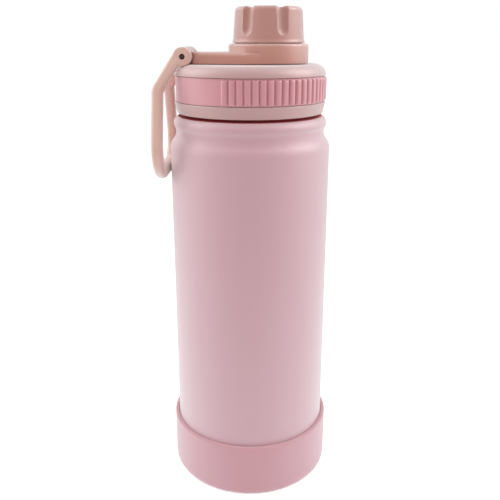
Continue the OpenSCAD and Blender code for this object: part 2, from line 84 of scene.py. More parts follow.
def add_node(
    tree: bpy.types.NodeTree, kind: str, settings: Optional[dict[str, Any]] = None, **inputs: Any
) -> bpy.types.Node:
    """Adds one shader node with its settings, values and links.

    Args:
        tree: The node tree that gets the node.
        kind: Blender's identifier of the node.
        settings: Attributes of the node itself.
        inputs: A value or an output socket for each socket, which is named with underscores for
            spaces or by an underscore and its number.

    Returns:
        The new node.
    """
    made = tree.nodes.new(kind)
    for name, value in (settings or {}).items():
        setattr(made, name, value)
    for name, value in inputs.items():
        socket = made.inputs[int(name[1:])] if name[1:].isdigit() else made.inputs[name.replace("_", " ")]
        if isinstance(value, bpy.types.NodeSocket):
            tree.links.new(value, socket)
        else:
            socket.default_value = value
    return made


def combine(tree: bpy.types.NodeTree, operation: str, one: Any, other: Any) -> bpy.types.NodeSocket:
    """Adds a maths node for two values or sockets and gives its output."""
    return add_node(tree, "ShaderNodeMath", {"operation": operation}, _0=one, _1=other).outputs[0]


def noise(
    tree: bpy.types.NodeTree, place: bpy.types.NodeSocket, size_mm: float, detail: float
) -> bpy.types.NodeSocket:
    """Adds a noise texture with spots of size_mm and gives its output."""
    scale = 1 / (size_mm * MM)
    return add_node(tree, "ShaderNodeTexNoise", Vector=place, Scale=scale, Detail=detail).outputs["Fac"]


class Grain(Enum):
    """How a surface's fine relief runs."""

    EVEN = "even"
    TURNED = "turned"


@dataclass(frozen=True)
class Finish:
    """One real surface: its colour, its gloss and its fine relief.

    The colour varies between base and shade over patch_mm, and the relief has a grit of grit_mm.
    """

    name: str
    base: str
    shade: str
    roughness: float
    patch_mm: float
    grit_mm: float
    relief_mm: float
    metallic: float = 0.0
    ior: float = 1.5
    sheen: float = 0.0
    sheen_roughness: float = 0.5
    grain: Grain = Grain.EVEN
    rough_spread: float = 0.06
    noise_span: Point = (0.3, 0.7)
    patch_detail: float = 3.0
    grit_detail: float = 2.0
    ring_stretch: Place = (0.06, 0.06, 1.0)

    def build(self) -> bpy.types.Material:
        """Makes the node material.

        Returns:
            A new material named for the finish.
        """
        material = bpy.data.materials.new(self.name)
        tree = empty_tree(material)
        place = add_node(tree, "ShaderNodeTexCoord").outputs["Object"]
        if self.grain is Grain.TURNED:
            place = add_node(tree, "ShaderNodeMapping", Vector=place, Scale=self.ring_stretch).outputs[0]
        cloud = noise(tree, place, self.patch_mm, self.patch_detail)
        pair = {"_6": linear(self.base), "_7": linear(self.shade)}
        tint = add_node(tree, "ShaderNodeMix", {"data_type": "RGBA"}, _0=cloud, **pair)
        grit = noise(tree, place, self.grit_mm, self.grit_detail)
        rough = add_node(
            tree,
            "ShaderNodeMapRange",
            Value=grit,
            From_Min=self.noise_span[0],
            From_Max=self.noise_span[1],
            To_Min=self.roughness - self.rough_spread,
            To_Max=self.roughness + self.rough_spread,
        )
        bump = add_node(tree, "ShaderNodeBump", Strength=1.0, Distance=self.relief_mm * MM, Height=grit)
        shader = add_node(
            tree,
            "ShaderNodeBsdfPrincipled",
            Base_Color=tint.outputs[2],
            Roughness=rough.outputs[0],
            Metallic=self.metallic,
            IOR=self.ior,
            Normal=bump.outputs[0],
            Sheen_Weight=self.sheen,
            Sheen_Roughness=self.sheen_roughness,
        )
        add_node(tree, "ShaderNodeOutputMaterial", Surface=shader.outputs[0])
        return material


# Polyester powder coat, sprayed and baked: a dull pink skin with a fine orange peel and pale edges
POWDER_COAT = Finish(
    "powder_coat_baked", "c8949e", "c5919b", roughness=0.5, patch_mm=40, grit_mm=0.9, relief_mm=0.012,
    sheen=0.95, sheen_roughness=0.7,
)
# Painted shade on the ledge in the gap under the lid: a deep red, dull ring where the coat stops, coloured
# as the dark gap
PAINTED_GAP_SHADE = Finish(
    "painted_gap_shade_ring", "b8484a", "b04345", roughness=0.55, patch_mm=10, grit_mm=0.5, relief_mm=0.006
)
# Moulded polypropylene with a spark-eroded skin: the cap's deep peach
CAP_PP = Finish(
    "polypropylene_cap_moulded", "b97f73", "b67b6f", roughness=0.4, patch_mm=12, grit_mm=0.5, relief_mm=0.01,
    ior=1.49, sheen=1.0, sheen_roughness=0.6,
)
# The cap's polypropylene, coloured a touch paler on the arm and collar: painted light that offsets the shade
# they sit in
ARM_PP_PAINTED_LIGHT = replace(CAP_PP, name="polypropylene_arm_painted_light", base="c78a7a", shade="c48675")
# The handle's colour, a paler peach still
HANDLE_PP = replace(
    CAP_PP, name="polypropylene_handle_moulded", base="dcac9c", shade="d9a897", sheen_roughness=0.7
)
# The lid's rims, a greyer peach and a little rougher
LID_PP = replace(
    CAP_PP, name="polypropylene_rim_moulded", base="be908d", shade="bb8c89", roughness=0.42, sheen=0.9,
    sheen_roughness=0.65,
)
# Over-moulded thermoplastic rubber: a stronger pink, duller than the lid
BAND_TPE = Finish(
    "thermoplastic_rubber_moulded", "d28c95", "cf8891", roughness=0.45, patch_mm=8, grit_mm=0.4,
    relief_mm=0.008, ior=1.49, sheen=0.6, sheen_roughness=0.65,
)
# Moulded silicone: soft, dull pink with a dusty bloom at the edges
BOOT_SILICONE = Finish(
    "silicone_boot_moulded", "c98894", "c68490", roughness=0.6, patch_mm=30, grit_mm=0.6, relief_mm=0.008,
    ior=1.41, sheen=0.85, sheen_roughness=0.7,
)
# Platinum-cured silicone: milky white
SEAL_SILICONE = Finish(
    "silicone_seal_moulded", "e9e6e1", "e2ded8", roughness=0.45, patch_mm=6, grit_mm=0.4, relief_mm=0.005,
    ior=1.41,
)
# Deep-drawn stainless steel: fine rings round the wall from the drawing die
DRAWN_STEEL = Finish(
    "stainless_steel_drawn", "c3c2c0", "b5b4b2", roughness=0.32, patch_mm=3, grit_mm=0.5, relief_mm=0.004,
    metallic=1.0, grain=Grain.TURNED,
)
# Cold-headed steel pin, coloured dark brown-grey: painted shade of the recess it sits in
PIN_STEEL_PAINTED_SHADE = Finish(
    "steel_pin_painted_shade", "66534a", "56443c", roughness=0.4, patch_mm=1, grit_mm=0.3, relief_mm=0.004,
    metallic=1.0,
)
# Sintered getter alloy: dark grey and dull
GETTER_ALLOY = Finish(
    "getter_alloy_sintered", "6a6a6c", "5c5c5e", roughness=0.7, patch_mm=2, grit_mm=0.2, relief_mm=0.02,
    metallic=1.0,
)
# Solder that was melted into its dimple: pale grey
SOLDER = Finish(
    "solder_cast", "9a9a9c", "8b8b8d", roughness=0.45, patch_mm=2, grit_mm=0.6, relief_mm=0.02, metallic=1.0
)

NODE_FINISHES = {
    "outer_shell": POWDER_COAT,
    "inner_liner": DRAWN_STEEL,
    "liner_base": DRAWN_STEEL,
    "outer_base": DRAWN_STEEL,
    "getter": GETTER_ALLOY,
    "vacuum_seal": SOLDER,
    "boot": BOOT_SILICONE,
    "lid_gasket": SEAL_SILICONE,
    "lid_core": LID_PP,
    "grip_band": BAND_TPE,
    "lid_cover": LID_PP,
    "hinge_pin": PIN_STEEL_PAINTED_SHADE,
    "collar_arm": ARM_PP_PAINTED_LIGHT,
    "spout_cap": CAP_PP,
    "cap_seal": SEAL_SILICONE,
    "handle": HANDLE_PP,
}


class Wardrobe:
    """Builds each finish once and puts it on pieces."""

    def __init__(self) -> None:
        """Starts with no finish built."""
        self.made: dict[str, bpy.types.Material] = {}

    def dress(self, piece: bpy.types.Object, finish: Finish) -> None:
        """Gives a piece one finish all over.

        Args:
            piece: The mesh object.
            finish: Its surface.
        """
        if finish.name not in self.made:
            self.made[finish.name] = finish.build()
        if not piece.material_slots:
            piece.data.materials.append(self.made[finish.name])
        for slot in piece.material_slots:
            slot.material = self.made[finish.name]

    def dress_nodes(self) -> None:
        """Gives every solid of the frame its finish."""
        for name, finish in NODE_FINISHES.items():
            self.dress(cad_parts[name], finish)
            LOG.info("dressed %s in %s", name, finish.name)


def arc(centre: Point, radius: float, start: float, end: float, steps: int) -> list[Point]:
    """Lists points of an arc.

    Args:
        centre: Centre of the arc in mm.
        radius: Radius in mm.
        start: First angle in degrees.
        end: Last angle in degrees.
        steps: Number of pieces of the arc.

    Returns:
        The points, both ends among them.
    """
    angles = [math.radians(start + (end - start) * i / steps) for i in range(steps + 1)]
    return [(centre[0] + radius * math.cos(a), centre[1] + radius * math.sin(a)) for a in angles]


def smooth_step(share: float) -> float:
    """Eases a share from 0 to 1 with level ends."""
    share = min(max(share, 0.0), 1.0)
    return share * share * (3 - 2 * share)


def smooth_min(one: float, other: float, width: float) -> float:
    """Takes the smaller of two numbers and rounds the change-over off by width."""
    near = max(width - abs(one - other), 0.0) / width
    return min(one, other) - near * near * width / 4


def take(piece: bpy.types.Object) -> None:
    """Makes a piece the active one and the only one selected.

    Args:
        piece: The piece, in object mode.
    """
    bpy.ops.object.select_all(action="DESELECT")
    piece.select_set(True)
    bpy.context.view_layer.objects.active = piece


def edit_all() -> None:
    """Opens the active piece in edit mode with all selected."""
    bpy.ops.object.mode_set(mode="EDIT")
    bpy.ops.mesh.select_all(action="SELECT")


def draw_chain(name: str, points: Sequence[Vector]) -> bpy.types.Object:
    """Collapses a plane to one vertex and extrudes that along a chain of points.

    Args:
        name: Name of the new piece.
        points: The chain, in metres.

    Returns:
        The piece, in edit mode with all selected.
    """
    bpy.ops.object.select_all(action="DESELECT")
    bpy.ops.mesh.primitive_plane_add(size=MM, location=(0, 0, 0))
    piece = bpy.context.object
    piece.name = name
    edit_all()
    bpy.ops.mesh.merge(type="CENTER")
    bpy.ops.transform.translate(value=points[0])
    for before, after in zip(points, points[1:]):
        bpy.ops.mesh.extrude_vertices_move(TRANSFORM_OT_translate={"value": after - before})
    bpy.ops.mesh.select_all(action="SELECT")
    return piece


def turned_in(piece: bpy.types.Object) -> bool:
    """Tells from the sign of the enclosed volume which way a closed piece's faces point.

    Args:
        piece: The piece, in object mode.

    Returns:
        Whether the faces point inwards.
    """
    volume = 0.0
    for face in piece.data.polygons:
        first, *others = [piece.data.vertices[i].co for i in face.vertices]
        volume += sum(first.dot(one.cross(two)) for one, two in zip(others, others[1:]))
    return volume < 0


def close_mesh(piece: bpy.types.Object) -> None:
    """Merges doubles, turns the faces outwards and shades the piece.

    Args:
        piece: The piece, in edit mode.
    """
    bpy.ops.mesh.select_all(action="SELECT")
    bpy.ops.mesh.remove_doubles(threshold=MERGE_MM * MM)
    bpy.ops.mesh.normals_make_consistent(inside=False)
    bpy.ops.object.mode_set(mode="OBJECT")
    if turned_in(piece):
        edit_all()
        bpy.ops.mesh.flip_normals()
        bpy.ops.object.mode_set(mode="OBJECT")
    take(piece)
    bpy.ops.object.shade_smooth_by_angle(angle=math.radians(SMOOTH_DEG))


def turned(
    name: str, section: Sequence[Point], steps: int, centre: Vector, upright: bool = True
) -> bpy.types.Object:
    """Spins a half section about an axis.

    Args:
        name: Name of the new piece.
        section: Radius and place along the axis of each point in mm; a ring ends at its first point.
        steps: Number of steps of the full turn.
        centre: A point of the axis, in metres.
        upright: Whether the axis is Z; otherwise it is Y.

    Returns:
        The piece, in object mode.
    """
    if upright:
        chain = [Vector((centre.x + r * MM, centre.y, z * MM)) for r, z in section]
    else:
        chain = [Vector((centre.x + r * MM, y * MM, centre.z)) for r, y in section]
    piece = draw_chain(name, chain)
    axis = (0, 0, 1) if upright else (0, 1, 0)
    bpy.ops.mesh.spin(steps=steps, angle=2 * math.pi, center=centre, axis=axis)
    close_mesh(piece)
    return piece


def apply_modifier(piece: bpy.types.Object, kind: str, **settings: Any) -> None:
    """Adds a modifier to a piece and applies it.

    Args:
        piece: The piece, in object mode.
        kind: Blender's identifier of the modifier.
        settings: Its settings.
    """
    take(piece)
    added = piece.modifiers.new(kind.lower(), kind)
    for name, value in settings.items():
        setattr(added, name, value)
    bpy.ops.object.modifier_apply(modifier=added.name)


def join_solid(piece: bpy.types.Object, other: bpy.types.Object, operation: str) -> None:
    """Joins another solid to a piece by UNION or cuts it out by DIFFERENCE, and removes that solid."""
    apply_modifier(piece, "BOOLEAN", object=other, operation=operation, solver="EXACT")
    bpy.data.objects.remove(other, do_unlink=True)


def settle(
    piece: bpy.types.Object,
    body: str,
    finish: Finish,
    wardrobe: Wardrobe,
    node: Optional[str] = None,
) -> None:
    """Dresses a new piece and fixes it to its body.

    Args:
        piece: The new piece.
        body: The body that it moves with.
        finish: Its surface.
        wardrobe: The finishes built so far.
        node: The solid that it stands for.
    """
    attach(piece, body)
    if node is not None:
        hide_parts(node)
    wardrobe.dress(piece, finish)
    LOG.info("made %s, %d faces", piece.name, len(piece.data.polygons))


def copy_solid(node: str, name: str) -> bpy.types.Object:
    """Copies a solid's mesh and merges its loose triangles.

    Args:
        node: Name of the solid.
        name: Name of the new piece.

    Returns:
        The copy, in edit mode with all selected.
    """
    piece = bpy.data.objects.new(name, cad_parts[node].data.copy())
    bpy.context.scene.collection.objects.link(piece)
    take(piece)
    edit_all()
    bpy.ops.mesh.remove_doubles(threshold=MERGE_MM * MM)
    return piece


@dataclass
class Shell:
    """The steel shell, whose coat was masked off on the ledge so that the neck stays bare; the ledge carries
    a ring of painted shade for the gap under the lid, in mm.
    """

    coat_z: float = 176.35
    neck_z: float = 178.2
    foot_z: float = 0.0
    rim_z: float = 192.0

    def build(self, wardrobe: Wardrobe) -> None:
        """Cuts the shell's surface into its coat, the ring of painted shade on the ledge and the bare neck.

        Args:
            wardrobe: The finishes built so far.
        """
        self.cut_part("shell_coated", (self.foot_z, self.coat_z), POWDER_COAT, wardrobe)
        # The ledge's deep red, dull ring is painted shade standing for the dark gap under the lid.
        self.cut_part("shell_ledge_painted_shade", (self.coat_z, self.neck_z), PAINTED_GAP_SHADE, wardrobe)
        self.cut_part("shell_neck", (self.neck_z, self.rim_z), DRAWN_STEEL, wardrobe)

    def cut_part(self, name: str, span: Point, finish: Finish, wardrobe: Wardrobe) -> None:
        """Keeps the shell between two heights and closes the cuts.

        Args:
            name: Name of the new piece.
            span: Lower and upper height.
            finish: Its surface.
            wardrobe: The finishes built so far.
        """
        part = copy_solid("outer_shell", name)
        for z, upper in zip(span, (False, True)):
            if self.foot_z < z < self.rim_z:
                bpy.ops.mesh.select_all(action="SELECT")
                bpy.ops.mesh.bisect(
                    plane_co=(0, 0, z * MM), plane_no=(0, 0, 1), clear_outer=upper, clear_inner=not upper
                )
                bpy.ops.mesh.bridge_edge_loops()
        close_mesh(part)
        settle(part, "bottle", finish, wardrobe, "outer_shell")


@dataclass
class Thread:
    """One helical ridge, right-handed, with ends that fade into the wall, in mm.

    The root gives the wall's radius at a height, and a negative height makes an inner thread.
    """

    name: str
    root: Callable[[float], float]
    height: float
    foot_z: float
    pitch: float
    root_w: float
    crest_w: float
    centre_x: float = 0.0
    turns: int = 2
    steps: int = 96
    sunk: float = 0.05
    fade: float = 0.09

    def build(self) -> bpy.types.Object:
        """Draws the ridge's section and screws it up its helix.

        Returns:
            The ridge.
        """
        start = self.root(self.foot_z)
        section = [
            (start, -self.root_w / 2),
            (start + self.height, -self.crest_w / 2),
            (start + self.height, self.crest_w / 2),
            (start, self.root_w / 2),
        ]
        chain = [Vector((r * MM, 0, (self.foot_z + z) * MM)) for r, z in section]
        piece = draw_chain(self.name, chain)
        bpy.ops.mesh.edge_face_add()
        bpy.ops.mesh.delete(type="ONLY_FACE")
        bpy.ops.object.mode_set(mode="OBJECT")
        apply_modifier(
            piece,
            "SCREW",
            angle=2 * math.pi,
            screw_offset=self.pitch * MM,
            iterations=self.turns,
            steps=self.steps,
            render_steps=self.steps,
            use_smooth_shade=True,
        )
        self.follow_wall(piece)
        edit_all()
        bpy.ops.mesh.fill_holes(sides=len(section))
        close_mesh(piece)
        return piece

    def follow_wall(self, piece: bpy.types.Object) -> None:
        """Moves each point of the ridge to the wall's radius at its height, and fades the ends.

        Args:
            piece: The screwed ridge round the Z axis.
        """
        start = self.root(self.foot_z)
        low, high = self.foot_z, self.foot_z + self.pitch * self.turns
        sign = math.copysign(1.0, self.height)
        for point in piece.data.vertices:
            r = math.hypot(point.co.x, point.co.y) / MM
            rise = (r - start) / self.height
            z = point.co.z / MM
            share = smooth_step(min(z - low, high - z) / (high - low) / self.fade)
            wanted = self.root(z) - sign * self.sunk + (self.height + sign * self.sunk) * rise * share
            point.co.x *= wanted / r
            point.co.y *= wanted / r
            point.co.x += self.centre_x * MM


@dataclass
class Hinge:
    """Sizes that the pin, the arm, the handle, the cap and the spout share, in mm.

    The nub in each end of the pin has a radius and a depth for each of its points.
    """

    x: float = -28.6
    z: float = 202.3
    barrel_r: float = 4.0
    pin_r: float = 1.2
    eye_in: float = 9.8
    eye_out: float = 14.4
    pin_end: float = 13.8
    nub: tuple[Point, ...] = ((0, 0), (0.35, 0.02), (0.5, 0.12), (0.56, 0.4), (0.6, 1.0))
    recess_depth: float = 1.05
    recess_break: float = 0.1
    steps: int = 48
    spout_x: float = 8.2
    bore_r: float = 13.75

    def centre(self) -> Vector:
        """Gives the middle of the pin in metres."""
        return Vector((self.x * MM, 0, self.z * MM))

    def swing_r(self, z: float) -> float:
        """Gives the radius round the spout's axis at height z that lets the cap's bore swing off."""
        reach = self.spout_x - self.x
        return math.sqrt((reach + self.bore_r) ** 2 - max(0.0, z - self.z) ** 2) - reach

    def build_pin(self, wardrobe: Wardrobe) -> None:
        """Turns the pin, whose ends have a nub in a deep recess.

        Args:
            wardrobe: The finishes built so far.
        """
        half = [*self.nub, (self.pin_r - self.recess_break, self.recess_depth)]
        half.append((self.pin_r, self.recess_depth + self.recess_break))
        near = [(r, depth - self.pin_end) for r, depth in half]
        section = near + [(r, -y) for r, y in reversed(near)]
        pin = turned("hinge_pin_nubbed", section, self.steps, self.centre(), upright=False)
        # The pin's dark brown-grey colour is painted shade of its recess in the eyes.
        settle(pin, "lid", PIN_STEEL_PAINTED_SHADE, wardrobe, "hinge_pin")


@dataclass
class SpoutCap:
    """The fluted screw cap, in mm.

    A flange at the foot of its skirt holds it in the collar. Above the collar its side flares out at
    the foot, and its top has a dish with notches in the rim where the flutes end.
    """

    hinge: Hinge
    skirt_r: float = 14.8
    foot_r: float = 16.0
    side_r: float = 15.55
    top_r: float = 14.8
    skirt_z: float = 199.6
    flange_z: float = 201.6
    flange_break: float = 0.2
    foot_z: float = 207.9
    foot_round: float = 0.35
    flare_low: float = 0.5
    flare_z: float = 209.9
    flare_rows: int = 8
    side_rows: int = 30
    top_z: float = 223.0
    edge_round: float = 2.0
    ceiling_z: float = 221.0
    seal_z: float = 219.4
    seal_r: float = 11.3
    bore_rows: int = 10
    wall: float = 0.9
    flute_count: int = 6
    flute_r: float = 2.6
    flute_depth: float = 1.5
    flute_lean: float = 0.13
    flute_low_z: float = 211.0
    flute_phase: float = -6.5
    flute_inner_r: float = 11.4
    lip_round: float = 0.4
    notch_half: float = 1.0
    notch_fade: float = 2.0
    dish_depth: float = 0.7
    dish_r: float = 12.0
    dish_fade: float = 2.0
    dish_row: float = 0.4
    dish_rows: int = 8
    flat_rings: Place = (9.0, 6.0, 0.0)
    thread_pitch: float = 2.6
    steps: int = 360

    def section(self) -> list[Point]:
        """Lists the half section, from the bore's foot round the outside and back.

        Returns:
            The points, the first one again at the end.
        """
        start = (self.hinge.bore_r, self.skirt_z)
        inset = self.foot_r - self.flange_break
        outside = [start, (inset, self.skirt_z), (self.foot_r, self.skirt_z + self.flange_break)]
        outside += [(self.foot_r, self.flange_z - self.flange_break), (inset, self.flange_z)]
        outside += [(self.skirt_r, self.flange_z), (self.skirt_r, self.foot_z)]
        outside.append((self.foot_r - self.foot_round, self.foot_z))
        corner = (self.foot_r - self.foot_round, self.foot_z + self.foot_round)
        outside += arc(corner, self.foot_round, -60, 0, 4)
        low = self.foot_z + self.flare_low
        for i in range(self.flare_rows + 1):
            t = i / self.flare_rows
            r = self.foot_r - (self.foot_r - self.side_r) * (1 - (1 - t) ** 2)
            outside.append((r, low + (self.flare_z - low) * t))
        high = self.top_z - self.edge_round
        for i in range(1, self.side_rows):
            t = i / self.side_rows
            r = self.side_r + (self.top_r - self.side_r) * t
            outside.append((r, self.flare_z + (high - self.flare_z) * t))
        outside += arc((self.top_r - self.edge_round, high), self.edge_round, 0, 90, 12)
        outside += [(self.dish_r + (1 - i) * self.dish_row, self.top_z) for i in range(self.dish_rows)]
        outside += [(r, self.top_z) for r in self.flat_rings]
        inside = [(0, self.ceiling_z), (self.seal_r, self.ceiling_z), (self.seal_r, self.seal_z)]
        for i in range(self.bore_rows + 1):
            z = self.seal_z + (self.hinge.z - self.seal_z) * i / self.bore_rows
            inside.append((self.hinge.swing_r(z), z))
        return outside + inside + [start]

    def off_flute(self, angle: float) -> float:
        """Gives the turn from the nearest flute's middle to an angle, in radians."""
        pitch = 2 * math.pi / self.flute_count
        return (angle - math.radians(self.flute_phase) + pitch / 2) % pitch - pitch / 2

    def flute_wall(self, angle: float, z: float) -> float:
        """Gives the distance from the cap's axis to the nearest flute's wall.

        Args:
            angle: Direction from the axis in radians.
            z: Height in mm.

        Returns:
            The distance in mm, infinite where no flute lies.
        """
        turn = self.off_flute(angle)
        lean = self.flute_lean * max(0.0, z - self.flute_low_z)
        away = self.side_r - self.flute_depth + self.flute_r - lean
        below = max(0.0, self.flute_low_z + self.flute_r - z)
        radius_sq = self.flute_r**2 - below**2 - (away * math.sin(turn)) ** 2
        if radius_sq <= 0:
            return math.inf
        return away * math.cos(turn) - math.sqrt(radius_sq)

    def top_drop(self, angle: float, r: float, z: float) -> float:
        """Gives how far the dish in the top, and the flutes' ends in its rim, lie below the rim.

        Args:
            angle: Direction from the axis in radians.
            r: Distance from the axis in mm.
            z: Height in mm.

        Returns:
            The drop in mm.
        """
        across = abs(self.off_flute(angle)) * self.top_r
        notch = 1 - smooth_step((across - self.notch_half) / self.notch_fade)
        dish = smooth_step((self.dish_r - r) / self.dish_fade)
        return self.dish_depth * max(notch, dish) * smooth_step((z - self.ceiling_z) / self.edge_round)

    def press(self, cap: bpy.types.Object) -> None:
        """Presses the dish into the turned cap's top and the flutes into its side.

        Args:
            cap: The cap, in object mode.
        """
        axis_x = self.hinge.spout_x * MM
        for point in cap.data.vertices:
            x, y, z = (point.co.x - axis_x) / MM, point.co.y / MM, point.co.z / MM
            r = math.hypot(x, y)
            angle = math.atan2(y, x)
            if z > self.ceiling_z:
                point.co.z -= self.top_drop(angle, r, z) * MM
            in_bore = r < self.skirt_r - self.wall and z < self.ceiling_z
            if in_bore or z < self.foot_z or r < self.flute_inner_r:
                continue
            share = smooth_min(r, self.flute_wall(angle, z), self.lip_round) / r
            point.co.x = axis_x + x * share * MM
            point.co.y = y * share * MM

    def build(self, wardrobe: Wardrobe) -> None:
        """Turns the cap, presses its flutes and its dish in, and adds its inner thread.

        Args:
            wardrobe: The finishes built so far.
        """
        centre = Vector((self.hinge.spout_x * MM, 0, 0))
        cap = turned("spout_cap_fluted", self.section(), self.steps, centre)
        self.press(cap)
        settle(cap, "cap", CAP_PP, wardrobe, "spout_cap")
        thread = Thread(
            "cap_thread",
            self.hinge.swing_r,
            height=-0.3,
            foot_z=205.2,
            pitch=self.thread_pitch,
            root_w=1.0,
            crest_w=0.5,
            centre_x=self.hinge.spout_x,
        )
        settle(thread.build(), "cap", CAP_PP, wardrobe)


@dataclass
class GripBand:
    """The ribbed rubber ring of the lid, in mm.

    A full turn has room for ribs_round ribs, and rib_count are there. The mesh has close rows at the
    ribs' ends, at end_rows from each edge of the band.
    """

    inner_r: float = 31.25
    outer_r: float = 33.45
    low_z: float = 183.1
    high_z: float = 194.2
    corner_r: float = 0.2
    corner_z: float = 0.15
    end_rows: tuple[float, ...] = (0.25, 0.45, 0.55, 0.7, 0.85, 1.0, 1.2, 1.6, 2.6)
    rib_h: float = 0.85
    rib_w: float = 2.55
    ribs_round: int = 66
    rib_count: int = 40
    groove_sink: float = 0.55
    border: float = 0.5
    edge: float = 0.95
    skin: float = 0.05
    steps_per_rib: int = 18

    def section(self) -> list[Point]:
        """Lists the half section with close rows at the ribs' ends.

        Returns:
            The points, the first one again at the end.
        """
        inset = self.outer_r - self.corner_r
        height = self.high_z - self.low_z
        rows = [*self.end_rows, height / 2, *(height - row for row in reversed(self.end_rows))]
        ring = [(self.inner_r, self.low_z), (inset, self.low_z)]
        ring.append((self.outer_r, self.low_z + self.corner_z))
        ring += [(self.outer_r, self.low_z + row) for row in rows]
        ring.append((self.outer_r, self.high_z - self.corner_z))
        ring += [(inset, self.high_z), (self.inner_r, self.high_z)]
        return ring + ring[:1]

    def rib_rise(self, angle: float, z: float) -> float:
        """Gives the height of the ribs above the band, or the depth of the grooves between them.

        Args:
            angle: Direction from the axis in degrees; the ribs' middle is at 0.
            z: Height in mm.

        Returns:
            The height in mm, negative in a groove.
        """
        pitch_deg = 360 / self.ribs_round
        pitch = math.radians(pitch_deg) * self.outer_r
        place = angle / pitch_deg + (self.rib_count - 1) / 2
        nearest = min(max(round(place), 0), self.rib_count - 1)
        across = abs(place - nearest) * pitch
        beyond = min(max((across - self.rib_w / 2 + self.edge) / self.edge, 0.0), 1.0)
        rise = self.rib_h * math.sqrt(max(0.0, 1 - beyond**2))
        if 0 <= place <= self.rib_count - 1:
            rise -= self.groove_sink * smooth_step((2 * across - self.rib_w) / (pitch - self.rib_w))
        end = min(z - self.low_z, self.high_z - z) - self.border
        past = min(max(1 - end / self.edge, 0.0), 1.0)
        return rise * math.sqrt(max(0.0, 1 - past**2))

    def build(self, wardrobe: Wardrobe) -> None:
        """Turns the ring and draws its ribs out.

        Args:
            wardrobe: The finishes built so far.
        """
        steps = self.ribs_round * self.steps_per_rib
        band = turned("grip_band_ribbed", self.section(), steps, Vector((0, 0, 0)))
        for point in band.data.vertices:
            r = math.hypot(point.co.x, point.co.y) / MM
            if r < self.outer_r - self.skin:
                continue
            angle = math.degrees(math.atan2(point.co.y, point.co.x))
            share = 1 + self.rib_rise(angle, point.co.z / MM) / r
            point.co.x *= share
            point.co.y *= share
        settle(band, "lid", BAND_TPE, wardrobe, "grip_band")


@dataclass
class CollarArm:
    """The arm with its collar: the solid with broken edges and a chamfer that fades out, in mm.

    The solid's chamfer ends at chamfer_end, short of the tangent where the arm meets the collar.
    """

    top_z: float = 204.0
    chamfer_end: Point = (-2.263, 15.939)
    tangent: Point = (4.683, 17.347)
    near: float = 0.05
    merge: float = 0.02
    flat_deg: float = 0.5
    soft: float = 0.25
    soft_steps: int = 2
    sharp_deg: float = 40.0

    def fade_chamfer(self, arm: bpy.types.Object) -> None:
        """Draws the corner at the chamfer's end out to where the arm meets the collar.

        Args:
            arm: The copy of the solid, in object mode.
        """
        for point in arm.data.vertices:
            x, y, z = point.co / MM
            off = math.hypot(x - self.chamfer_end[0], abs(y) - self.chamfer_end[1])
            if abs(z - self.top_z) < self.merge and off < self.near:
                point.co = Vector((self.tangent[0], math.copysign(self.tangent[1], y), self.top_z)) * MM

    def build(self, wardrobe: Wardrobe) -> None:
        """Copies the solid, fades its chamfer and breaks its edges.

        Args:
            wardrobe: The finishes built so far.
        """
        arm = copy_solid("collar_arm", "collar_arm_softened")
        bpy.ops.object.mode_set(mode="OBJECT")
        self.fade_chamfer(arm)
        edit_all()
        bpy.ops.mesh.remove_doubles(threshold=self.merge * MM)
        bpy.ops.mesh.dissolve_limited(angle_limit=math.radians(self.flat_deg))
        bpy.ops.object.mode_set(mode="OBJECT")
        apply_modifier(
            arm,
            "BEVEL",
            width=self.soft * MM,
            segments=self.soft_steps,
            limit_method="ANGLE",
            angle_limit=math.radians(self.sharp_deg),
            use_clamp_overlap=True,
        )
        bpy.ops.object.mode_set(mode="EDIT")
        close_mesh(arm)
        # The arm and collar get the cap's material painted paler, as painted light against their shade.
        settle(arm, "arm", ARM_PP_PAINTED_LIGHT, wardrobe, "collar_arm")


